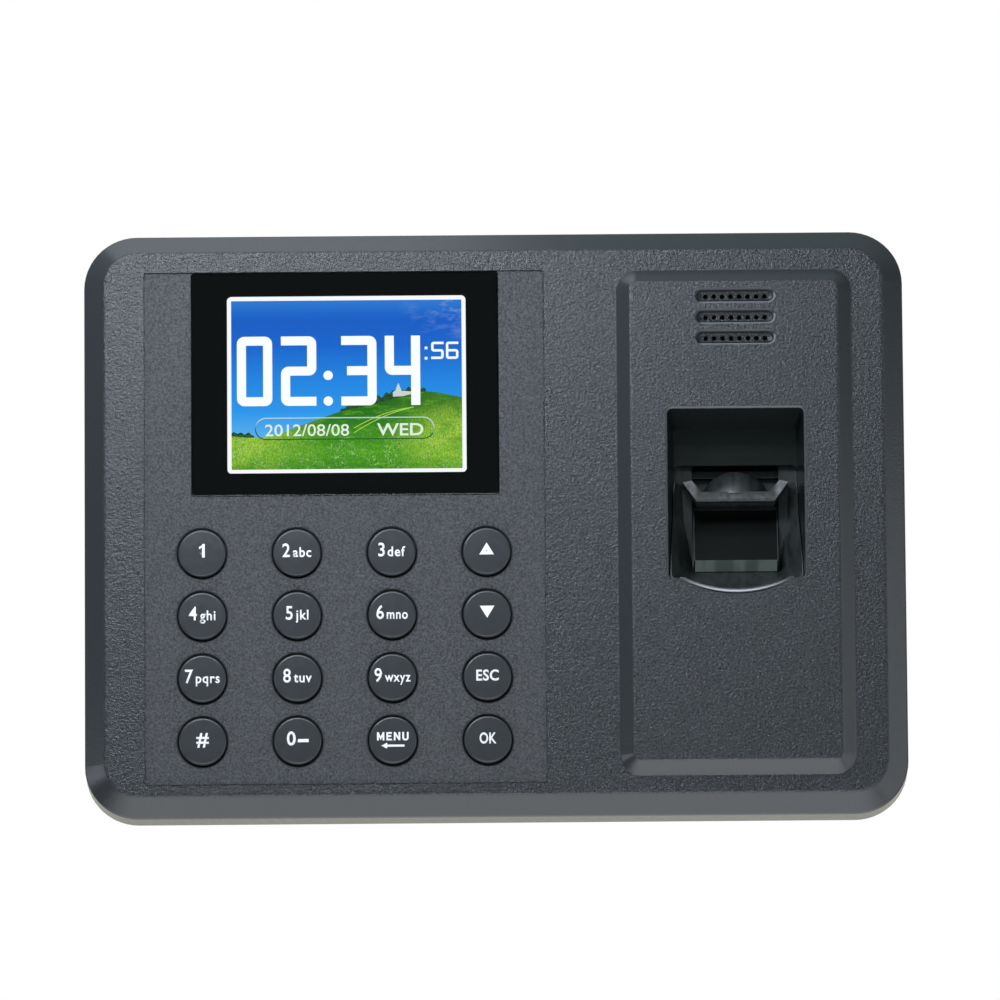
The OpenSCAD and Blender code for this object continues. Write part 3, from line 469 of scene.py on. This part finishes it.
LCD_LOW, LCD_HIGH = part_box("lcd_panel")
LCD_FRONT = LCD_LOW.y
LCD_SIDE = 0.9 * MM      # the panel's dark edge
BORDER = 0.9 * MM        # the white frame around the picture
INSET = LCD_SIDE + BORDER
PICTURE = (
    Vector((LCD_LOW.x + INSET, LCD_LOW.z + INSET)),
    Vector((LCD_HIGH.x - INSET, LCD_HIGH.z - INSET)),
)
PICTURE_SIZE = PICTURE[1] - PICTURE[0]
LAYER = 0.04 * MM        # the step in y from one layer of the picture to the next


def on_screen(u, v):
    """A place on the picture, from (0, 0) at its lower left to (1, 1) at its upper right."""
    return Vector((PICTURE[0].x + u * PICTURE_SIZE.x, PICTURE[0].y + v * PICTURE_SIZE.y))


def screen_piece(name, bm, mat, layer):
    """A flat part of the picture, this many layers in front of the display."""
    mesh = sheet_mesh(name, bm, LCD_FRONT - layer * LAYER)
    return new_piece(name, mesh, mat, "case")


def picture_graph(name):
    """The nodes of a glowing material, and the place across and up the picture."""
    g = Graph(glow(name, (1, 1, 1)))
    u = g.ramp(g.axis(0), PICTURE[0].x, PICTURE[1].x)
    v = g.ramp(g.axis(2), PICTURE[0].y, PICTURE[1].y)
    return g, u, v


def color_ramp(g, value, stops):
    """A colour that changes with a value, through stops given as (position, colour)."""
    made = g.node("ShaderNodeValToRGB", {"Fac": value})
    elements = made.color_ramp.elements
    while len(elements) < len(stops):
        elements.new(0.5)
    for element, (position, color) in zip(elements, stops):
        element.position = position
        element.color = (*color, 1)
    return made.outputs["Color"]


def sky_material():
    """Blue, paler toward the horizon, with wisps of cloud in the upper right corner."""
    g, u, v = picture_graph("sky")
    blue = color_ramp(g, v, [
        (0.18, (0.10, 0.46, 0.90)), (0.34, (0.020, 0.32, 0.88)), (0.52, (0.010, 0.245, 0.80)),
        (0.74, (0.003, 0.130, 0.64)), (0.88, (0.003, 0.108, 0.58)), (0.93, (0.006, 0.140, 0.62)),
        (1.0, (0.026, 0.20, 0.68)),
    ])
    wisps = g.noise(260, 7.0, 0.7, g.stretched((0.6, 1, 1.5), (0, 0.7, 0)))
    corner = g.times(g.ramp(u, 0.72, 0.95), g.ramp(v, 0.70, 0.97))
    cloud = g.math("MULTIPLY", g.ramp(wisps, 0.50, 0.80, 0.0, 0.6), corner, True)
    g.feed("Emission Color", g.mix(cloud, blue, (0.60, 0.80, 1.0)))
    return g.mat


def grass_material():
    """A meadow with sunny sides, light streaks, dark tufts and small flowers low down."""
    g, u, v = picture_graph("grass")
    hill = color_ramp(g, v, [
        (0.0, (0.05, 0.28, 0.006)), (0.10, (0.10, 0.42, 0.012)), (0.20, (0.07, 0.34, 0.008)),
        (0.30, (0.022, 0.205, 0.003)), (0.40, (0.012, 0.150, 0.003)), (0.47, (0.035, 0.21, 0.006)),
    ])
    tufts = g.noise(2300, 4.0, 0.75, g.stretched((1.5, 1, 0.8)))
    streaks = g.noise(700, 4.0, 0.6, g.stretched((0.35, 1, 1.8), (0, 0.5, 0)))
    sides = g.math("ADD", g.ramp(u, 0.42, 0.05), g.ramp(u, 0.66, 0.92), True)
    sunny = g.times(sides, g.inside(v, 0.03, 0.33, 0.12))
    sunny = g.math("MULTIPLY", sunny, g.ramp(g.noise(260, 3.0), 0.38, 0.58, 0.45, 1.0), True)
    meadow = g.mix(sunny, hill, (0.50, 0.78, 0.075))
    lit = g.mix(g.times(g.ramp(streaks, 0.50, 0.68), 0.6), meadow, (0.20, 0.62, 0.025))
    shade = g.mix(g.times(g.ramp(tufts, 0.60, 0.40), 0.62), lit, (0.008, 0.13, 0.002))
    low = g.times(g.ramp(v, 0.26, 0.10), g.ramp(g.noise(300, 2.0), 0.42, 0.55))
    flowers = g.times(g.ramp(g.noise(3300, 1.0), 0.60, 0.68), low)
    g.feed("Emission Color", g.mix(g.times(flowers, 0.42), shade, (0.75, 0.90, 0.50)))
    return g.mat


def tree_material():
    g = Graph(glow("trees", (1, 1, 1)))
    leaves = g.ramp(g.noise(1900, 3.0), 0.4, 0.65)
    g.feed("Emission Color", g.mix(leaves, (0.004, 0.035, 0.008), (0.03, 0.13, 0.02)))
    return g.mat


# The hill's outline as (u, v) places on the picture
RIDGE = [
    (-0.1, 0.205), (0.0, 0.20), (0.10, 0.187), (0.20, 0.205), (0.333, 0.276), (0.459, 0.336), (0.543, 0.362),
    (0.64, 0.392), (0.782, 0.444), (0.838, 0.461), (0.90, 0.447), (1.0, 0.419), (1.1, 0.38),
]


def ridge(u):
    """The height of the hill's outline at u, with its corners smoothed."""
    total = 0
    for spot in (u - 0.03, u - 0.01, u + 0.01, u + 0.03):
        for (u0, v0), (u1, v1) in zip(RIDGE, RIDGE[1:]):
            if u0 <= spot < u1:
                total += v0 + (v1 - v0) * (spot - u0) / (u1 - u0)
    return total / 4


SKYLINE_STEPS = 120
BLEED = 0.005            # how far the landscape reaches under the white frame


def draw_backdrop():
    """The white frame around the picture, and the sky."""
    bm = bmesh.new()
    half = Vector((BORDER, BORDER)) / 2
    outline = corner_path(rectangle(PICTURE[0] - half, PICTURE[1] + half), 0.62 * MM, 5, True)
    stroke_faces(bm, outline, BORDER * 1.06, True)
    screen_piece("screen_frame", bm, glow("screen_white", (0.95, 0.97, 1.0), 1.05), 4)

    bm = bmesh.new()
    fill_faces(bm, rectangle(on_screen(-BLEED, -BLEED), on_screen(1 + BLEED, 1 + BLEED)))
    screen_piece("screen_sky", bm, sky_material(), 1)


def draw_trees():
    """Dark trees along the ridge and at the far left, drawn behind the hill."""
    bm = bmesh.new()
    for start, end, height in ((0.47, 0.845, 0.055), (-BLEED, 0.10, 0.035)):
        top = []
        for i in range(SKYLINE_STEPS + 1):
            u = start + (end - start) * i / SKYLINE_STEPS
            lobe = math.sin(math.pi * i / SKYLINE_STEPS) ** 0.35
            ragged = 0.72 + 0.16 * math.sin(u * 190) + 0.12 * math.sin(u * 83 + 1)
            top.append(on_screen(u, ridge(u) + height * lobe * ragged))
        fill_faces(bm, [on_screen(end, 0.12), *reversed(top), on_screen(start, 0.12)])
    screen_piece("screen_trees", bm, tree_material(), 2)


def draw_house():
    """A small white house with a pointed roof."""
    bm = bmesh.new()
    base = ridge(0.735)
    outline = [
        (0.700, 0.0), (0.785, 0.004), (0.785, 0.030), (0.738, 0.034), (0.733, 0.050), (0.724, 0.082),
        (0.715, 0.052), (0.711, 0.034), (0.700, 0.028),
    ]
    fill_faces(bm, [on_screen(u, base + v) for u, v in outline])
    screen_piece("screen_house", bm, glow("house_white", (0.62, 0.70, 0.66)), 3)


def draw_hill():
    """The hill and meadow, with a lighter path across them."""
    bm = bmesh.new()
    shares = [i / SKYLINE_STEPS for i in range(SKYLINE_STEPS + 1)]
    top = [on_screen(share * 1.01 - BLEED, ridge(share)) for share in shares]
    fill_faces(bm, [on_screen(1 + BLEED, -BLEED), *reversed(top), on_screen(-BLEED, -BLEED)])
    screen_piece("screen_hill", bm, grass_material(), 3.4)

    bm = bmesh.new()
    for lift in (0.0, 0.028):
        path = [
            on_screen(0.53 + 0.26 * t, 0.215 + lift * (1 - t) + 0.150 * t + 0.02 * math.sin(math.pi * t))
            for t in (k / 12 for k in range(13))
        ]
        stroke_faces(bm, path, 0.0035 * PICTURE_SIZE.x)
    screen_piece("screen_path", bm, glow("path_light", (0.42, 0.70, 0.09)), 3.8)


# The bars of each digit, as (column, row) marks from (0, 0) at its lower left to (1, 1) at its upper right.
# A bar is a closed loop, or open with a free end, or open with its last end joined to another bar.
DIGIT_BARS = {
    "0": [([(0, 0), (1, 0), (1, 1), (0, 1)], "loop")],
    "2": [([(0, 1), (1, 1), (1, 0.5), (0, 0.5), (0, 0), (1, 0)], "free")],
    "3": [([(0, 1), (1, 1), (1, 0), (0, 0)], "free"), ([(0.22, 0.5), (1, 0.5)], "joined")],
    "4": [([(0, 1), (0, 0.5), (1, 0.5)], "joined"), ([(1, 1), (1, 0)], "free")],
    "5": [([(1, 1), (0, 1), (0, 0.5), (1, 0.5), (1, 0), (0, 0)], "free")],
    "6": [([(1, 1), (0, 1), (0, 0), (1, 0), (1, 0.5), (0, 0.5)], "joined")],
}


def beyond(end, beside, distance):
    """The place this far past the end of a bar, or before it when the distance is negative."""
    return end + (end - beside).normalized() * distance


def digit(bm, char, corner, size, stroke, radius):
    """A digit of bars with rounded corners, from the lower left corner and the size of its outer box."""
    half = stroke / 2
    reach = size - Vector((stroke, stroke))
    for marks, kind in DIGIT_BARS[char]:
        closed = kind == "loop"
        path = [corner + Vector((half + column * reach.x, half + row * reach.y)) for column, row in marks]
        if not closed:
            path[0] = beyond(path[0], path[1], half)
            path[-1] = beyond(path[-1], path[-2], -half if kind == "joined" else half)
        if len(path) > 2:
            path = corner_path(path, radius, 6, closed)
        stroke_faces(bm, path, stroke, closed)


def draw_clock():
    """Large hours and minutes with a colon, and small seconds at the upper right."""
    bm = bmesh.new()
    wide, tall = PICTURE_SIZE
    large = Vector((0.153 * wide, 0.411 * tall))
    for char, u in (("0", 0.025), ("2", 0.216), ("3", 0.477), ("4", 0.666)):
        digit(bm, char, on_screen(u, 0.376), large, 0.0395 * wide, 0.68 * MM)
    for v in (0.403, 0.555):
        fill_faces(bm, disc(on_screen(0.420, v), 0.0205 * wide))
    small = Vector((0.054 * wide, 0.102 * tall))
    for char, u in (("5", 0.867), ("6", 0.931)):
        digit(bm, char, on_screen(u, 0.647), small, 0.0105 * wide, 0.36 * MM)
    dot = Vector((0.0058, 0.0058)) * wide
    for v in (0.652, 0.713):
        centre = on_screen(0.845, v)
        fill_faces(bm, rectangle(centre - dot, centre + dot))
    screen_piece("screen_clock", bm, glow("clock_white", (0.95, 0.98, 1.0), 1.08), 6)


def draw_date_frame():
    """The outline of a glassy pill around the date, dark below and at the left, light above."""
    low, high = on_screen(0.104, 0.178), on_screen(0.877, 0.304)
    radius = (high.y - low.y) / 2 - 0.02 * MM
    bm = bmesh.new()
    stroke_faces(bm, corner_path(rectangle(low, high), radius, 10, True), 0.24 * MM, True)
    g, u, v = picture_graph("pill_edge")
    slope = g.math("ADD", g.ramp(v, 0.19, 0.29), g.ramp(u, 0.10, 0.30, -0.35, 0.0))
    g.feed("Emission Color", g.mix(g.ramp(slope, 0.1, 0.7), (0.01, 0.10, 0.02), (0.50, 0.72, 0.72)))
    screen_piece("screen_pill", bm, g.mat, 5)


# ---- Lettering ----

def text_outline(words, size, weight=0.0, spread=1.0):
    """Flat letters as a new mesh in x and z, in metres. weight thickens them, as a share of their size."""
    curve = bpy.data.curves.new("letters", "FONT")
    curve.body = words
    curve.size = size
    curve.space_character = spread
    curve.offset = weight * size
    curve.resolution_u = 4
    holder = bpy.data.objects.new("letters", curve)
    bpy.context.scene.collection.objects.link(holder)
    bpy.context.view_layer.update()
    mesh = bpy.data.meshes.new_from_object(holder.evaluated_get(bpy.context.evaluated_depsgraph_get()))
    bpy.data.objects.remove(holder)
    bpy.data.curves.remove(curve)
    mesh.transform(Matrix.Rotation(math.pi / 2, 4, "X"))
    return mesh


def extent(mesh, axis):
    values = [v.co[axis] for v in mesh.vertices]
    return min(values), max(values)


CAP_SHARE = extent(text_outline("H", 1.0), 2)[1]


def add_letters(bm, words, cap, x, foot, weight, narrow=1.0, spread=1.0):
    """Adds letters with capitals of this height whose left edge is at x, and returns their right edge."""
    mesh = text_outline(words, cap / CAP_SHARE, weight, spread)
    to_origin = Matrix.Translation((-extent(mesh, 0)[0], 0, 0))
    mesh.transform(Matrix.Translation((x, 0, foot)) @ Matrix.Scale(narrow, 4, (1, 0, 0)) @ to_origin)
    right = extent(mesh, 0)[1]
    bm.from_mesh(mesh)
    bpy.data.meshes.remove(mesh)
    return right


def draw_date():
    """The date and the weekday, on one line."""
    bm = bmesh.new()
    cap = 0.062 * PICTURE_SIZE.y
    foot = on_screen(0, 0.198).y
    add_letters(bm, "2012/08/08", cap * 1.08, on_screen(0.146, 0).x, foot, 0.006, 1.10)
    add_letters(bm, "WED", cap * 1.12, on_screen(0.630, 0).x, foot, 0.014, 1.16)
    screen_piece("screen_date", bm, glow("date_white", (0.80, 0.92, 0.80)), 6)


# What each key says, apart from the arrows and MENU
LEGENDS = {
    "key_1": "1", "key_2": "2abc", "key_3": "3def", "key_4": "4ghi", "key_5": "5jkl", "key_6": "6mno",
    "key_7": "7pqrs", "key_8": "8tuv", "key_9": "9wxyz", "key_0": "0", "key_hash": "#",
    "key_esc": "ESC", "key_ok": "OK",
}
LETTER_FOOT = -1.05 * MM
DIGIT_CAP = 3.0 * MM

# The strokes of M, E, N and U, with each letter's width, in millimetres
MENU_STROKES = [
    (1.66, [[(0.2, 0), (0.2, 1.9)], [(1.46, 0), (1.46, 1.9)], [(0.2, 1.8), (0.83, 0.45), (1.46, 1.8)]]),
    (1.22, [[(0.2, 0), (0.2, 1.9)], [(0.2, 0.2), (1.22, 0.2)], [(0.2, 0.98), (1.1, 0.98)],
            [(0.2, 1.7), (1.22, 1.7)]]),
    (1.45, [[(0.2, 0), (0.2, 1.9)], [(1.25, 0), (1.25, 1.9)], [(0.24, 1.75), (1.21, 0.15)]]),
    (1.42, [[(0.2, 1.9), (0.2, 0.5), (0.38, 0.22), (0.71, 0.14), (1.04, 0.22), (1.22, 0.5), (1.22, 1.9)]]),
]
MENU_GAP = 0.45

# A 1 with a flag, in millimetres from the feet of the letters
ONE_OUTLINE = [
    (1.15, 0), (1.15, 3.1), (0.72, 3.1), (0.30, 2.62), (-0.12, 2.42), (-0.12, 1.92), (0.55, 2.30), (0.55, 0),
]


def millimetres(points):
    return [Vector(point) * MM for point in points]


def arrow_faces(bm, point):
    """A triangle with its tip up when point is 1, and down when it is -1."""
    foot, tip = 0.45 - point * 1.3, 0.45 + point * 1.45
    fill_faces(bm, millimetres([(-1.65, foot), (1.65, foot), (0, tip)]))


def menu_faces(bm):
    """The word MENU over an arrow that points to the left."""
    left = -3.57
    for width, strokes in MENU_STROKES:
        for marks in strokes:
            stroke_faces(bm, millimetres([(left + x, z - 0.15) for x, z in marks]), 0.40 * MM)
        left += width + MENU_GAP
    stroke_faces(bm, millimetres([(-1.5, -1.35), (2.6, -1.35)]), 0.50 * MM)
    fill_faces(bm, millimetres([(-2.6, -1.35), (-1.3, -2.05), (-1.3, -0.65)]))


def word_faces(bm, words):
    """A digit with its small letters, or a word or mark of its own, centred on x = 0."""
    if words == "1":
        fill_faces(bm, [(x * MM, LETTER_FOOT + z * MM) for x, z in ONE_OUTLINE])
    elif words == "0":
        right = add_letters(bm, words, DIGIT_CAP, 0, LETTER_FOOT, 0.02, 0.95)
        level = LETTER_FOOT + 1.0 * MM
        stroke_faces(bm, [Vector((right + 0.5 * MM, level)), Vector((right + 2.9 * MM, level))], 0.72 * MM)
    elif words == "#":
        add_letters(bm, words, 3.1 * MM, 0, LETTER_FOOT, 0.02)
    elif words in ("ESC", "OK"):
        narrow = 0.90 if words == "ESC" else 0.72
        add_letters(bm, words, 2.35 * MM, 0, LETTER_FOOT + 0.1 * MM, 0.024, narrow, 1.05)
    else:
        right = add_letters(bm, words[0], DIGIT_CAP, 0, LETTER_FOOT, 0.014, 0.86)
        narrow = 0.80 if "w" in words or "m" in words else 0.90
        add_letters(bm, words[1:], 2.15 * MM, right + 0.62 * MM, LETTER_FOOT, 0.018, narrow, 1.12)
    xs = [v.co.x for v in bm.verts]
    bmesh.ops.translate(bm, verts=bm.verts, vec=(-(min(xs) + max(xs)) / 2, 0, 0))


def legend_faces(key):
    """The white marks on one key, around (0, 0)."""
    bm = bmesh.new()
    if key in LEGENDS:
        word_faces(bm, LEGENDS[key])
    elif key == "key_menu":
        menu_faces(bm)
    else:
        arrow_faces(bm, 1 if key == "key_up" else -1)
    return bm


def drape(mesh, node, gap):
    """Moves each point of a thin sheet along y so that it lies on the node's face."""
    source = NODES[node].data
    tree = BVHTree.FromPolygons([v.co for v in source.vertices], [p.vertices for p in source.polygons])
    front = min(v.co.y for v in mesh.vertices)
    for vert in mesh.vertices:
        start = Vector((vert.co.x, -0.1, vert.co.z))
        hit = tree.ray_cast(start, Vector((0, 1, 0)))[0]
        vert.co.y = hit.y - gap + (vert.co.y - front)


def draw_legends():
    """White print on each key, which rides on the key."""
    for key in KEYS:
        low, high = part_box(key)
        centre = (low + high) / 2
        bm = legend_faces(key)
        bmesh.ops.translate(bm, verts=bm.verts, vec=(centre.x, 0, centre.z))
        mesh = sheet_mesh(key + "_legend", bm, 0.0, 0.05 * MM)
        drape(mesh, key, 0.02 * MM)
        new_piece(key + "_legend", mesh, WHITE, key)


draw_backdrop()
draw_trees()
draw_house()
draw_hill()
draw_clock()
draw_date_frame()
draw_date()
draw_legends()


# ---- Camera, lights and floor ----

CAMERA_ELEVATION = -11   # the camera looks up at the face, in degrees
CAMERA_ROLL = -0.45
CAMERA_DISTANCE = 3.0
WIDTH_IN_VIEW = 0.2254


def look_along(azimuth, elevation):
    a, e = math.radians(azimuth), math.radians(elevation)
    return -Vector((math.sin(a) * math.cos(e), -math.cos(a) * math.cos(e), math.sin(e)))


def add_camera():
    """A long lens, a little below the face, aimed near the object's middle."""
    ahead = look_along(0, CAMERA_ELEVATION)
    up = Vector((1, 0, 0)).cross(ahead).normalized()
    target = Vector((1.2 * MM, -23 * MM, 0)) + up * 5.5 * MM
    data = bpy.data.cameras.new("camera")
    data.sensor_width = 36
    data.lens = data.sensor_width * CAMERA_DISTANCE / WIDTH_IN_VIEW
    data.clip_start, data.clip_end = 0.05, 30
    camera = bpy.data.objects.new("camera", data)
    camera.rotation_mode = "QUATERNION"
    camera.location = target - ahead * CAMERA_DISTANCE
    roll = Matrix.Rotation(math.radians(CAMERA_ROLL), 4, "Z").to_quaternion()
    camera.rotation_quaternion = ahead.to_track_quat("-Z", "Y") @ roll
    bpy.context.scene.collection.objects.link(camera)
    bpy.context.scene.camera = camera


def add_light(name, place, aim, size, power, color):
    data = bpy.data.lights.new(name, "AREA")
    data.shape = "RECTANGLE"
    data.size, data.size_y = size
    data.energy = power
    data.color = color
    lamp = bpy.data.objects.new(name, data)
    lamp.location = place
    lamp.visible_camera = False
    lamp.rotation_mode = "QUATERNION"
    lamp.rotation_quaternion = (Vector(aim) - Vector(place)).to_track_quat("-Z", "Y")
    bpy.context.scene.collection.objects.link(lamp)


# The studio's brightness in front, and its brighter parts: axis, where it begins and is full, and brightness
FRONT_SKY = 0.17
SKY_PARTS = [("z", 0.35, 0.95, 0.30), ("z", -0.55, -0.95, 2.20), ("y", 0.35, 0.85, 0.56)]
FRONT_TINT, BELOW_TINT, BEHIND_TINT = (0.84, 1.05, 1.06), (0.96, 0.985, 1.02), (1.0, 0.98, 0.87)


def add_world():
    """White to the camera; to the object a studio, dark in front and brighter above, behind and below."""
    world = bpy.data.worlds.new("studio")
    bpy.context.scene.world = world
    world.use_nodes = True
    g = Nodes(world.node_tree)
    toward = g.node("ShaderNodeTexCoord").outputs["Generated"]
    axes = dict(zip("xyz", g.node("ShaderNodeSeparateXYZ", {0: toward}).outputs))
    strength = FRONT_SKY
    for axis, begins, full, brightness in SKY_PARTS:
        strength = g.math("ADD", strength, g.ramp(axes[axis], begins, full, 0.0, brightness))
    tint = g.mix(g.ramp(axes["z"], -0.2, -0.6), FRONT_TINT, BELOW_TINT)
    tint = g.mix(g.ramp(axes["y"], 0.3, 0.8), tint, BEHIND_TINT)
    lit = g.node("ShaderNodeBackground", {"Color": tint, "Strength": strength}).outputs[0]
    seen = g.node("ShaderNodeBackground", {"Color": (1, 1, 1, 1), "Strength": 1.0}).outputs[0]
    to_camera = g.node("ShaderNodeLightPath").outputs["Is Camera Ray"]
    mixed = g.node("ShaderNodeMixShader", {0: to_camera, 1: lit, 2: seen}).outputs[0]
    g.tree.links.new(mixed, g.tree.nodes["World Output"].inputs["Surface"])


def add_floor():
    """A plain pale floor under the object, which a camera below it looks through."""
    half = 2.0
    low = CAD_BOX[0].z - 0.5 * MM
    mesh = bpy.data.meshes.new("floor")
    corners = rectangle(Vector((-half, -half)), Vector((half, half)))
    mesh.from_pydata([(x, y, low) for x, y in corners], [], [(0, 1, 2, 3)])
    floor = bpy.data.objects.new("floor", mesh)
    bpy.context.scene.collection.objects.link(floor)
    g = Graph(shader("floor_paper", (0.82, 0.82, 0.82), 0.8))
    clear = g.node("ShaderNodeBsdfTransparent").outputs[0]
    under = g.node("ShaderNodeNewGeometry").outputs["Backfacing"]
    mixed = g.node("ShaderNodeMixShader", {0: under, 1: g.bsdf.outputs[0], 2: clear}).outputs[0]
    g.tree.links.new(mixed, g.tree.nodes["Material Output"].inputs["Surface"])
    mesh.materials.append(g.mat)
    floor.visible_diffuse = floor.visible_glossy = floor.visible_transmission = floor.visible_shadow = False


add_floor()
add_camera()
add_world()

# Lights: place, the point it shines at, width and height, power and colour
COOL, WHITER = (0.945, 0.99, 1.11), (0.97, 1.0, 1.06)
add_light("key_strip", (-0.05, -0.20, 0.15), (-0.02, 0, 0.03), (0.20, 0.06), 0.43, COOL)
add_light("left_spot", (-0.135, -0.23, 0.135), (-0.07, 0, 0.04), (0.08, 0.06), 0.25, COOL)
add_light("top_softbox", (-0.12, -0.04, 0.30), (-0.12, -0.04, 0), (0.24, 0.16), 0.15, COOL)
add_light("right_panel", (0.45, -0.15, -0.12), (0, -0.02, 0), (0.30, 0.45), 0.53, WHITER)
add_light("low_left_panel", (-0.42, -0.08, -0.07), (-0.09, -0.02, -0.05), (0.16, 0.12), 0.11, COOL)
add_light("low_strip", (0, -0.35, -0.35), (0, 0, -0.03), (0.5, 0.1), 0.58, COOL)
bpy.context.scene.view_settings.view_transform = "Standard"
